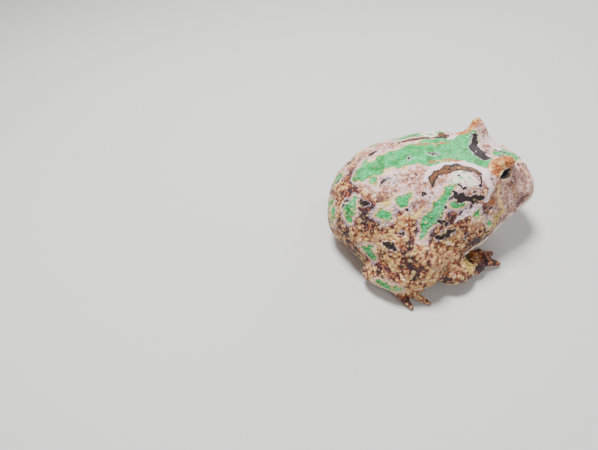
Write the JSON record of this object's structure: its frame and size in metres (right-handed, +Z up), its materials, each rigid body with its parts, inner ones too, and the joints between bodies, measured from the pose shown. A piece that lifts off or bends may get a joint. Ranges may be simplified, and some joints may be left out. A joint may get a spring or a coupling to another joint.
{
  "type": "argentine horned frog",
  "caption": "Life-size horned frog sitting with its round body low, wide mouth shut, small pointed horns over the eyes and limbs folded at its sides.",
  "frame": {"origin": "on the floor, under the middle of the frog's bounding box", "axes": "+X towards the snout, +Y to the frog's left, +Z up"},
  "size_m": [0.095, 0.0918, 0.0492],
  "materials": {
    "skin": "moist matte, mint green with cream and brown spots",
    "face_skin": "moist matte, pinkish brown with green and dark bars",
    "throat_skin": "moist matte, cream",
    "lid_skin": "moist matte, orange brown",
    "limb_skin": "moist matte, cream and red-brown",
    "eye": "wet gloss, near black"
  },
  "bodies": {
    "root": {"trunk": "skin", "head": "face_skin", "lower_jaw": "throat_skin", "eye_left": "eye", "horned_lid_left": "lid_skin", "upper_arm_left": "limb_skin", "forearm_left": "limb_skin", "hand_left": "limb_skin", "thigh_left": "limb_skin", "shank_left": "limb_skin", "foot_left": "limb_skin", "eye_right": "eye", "horned_lid_right": "lid_skin", "upper_arm_right": "limb_skin", "forearm_right": "limb_skin", "hand_right": "limb_skin", "thigh_right": "limb_skin", "shank_right": "limb_skin", "foot_right": "limb_skin"}
  },
  "joints": []
}
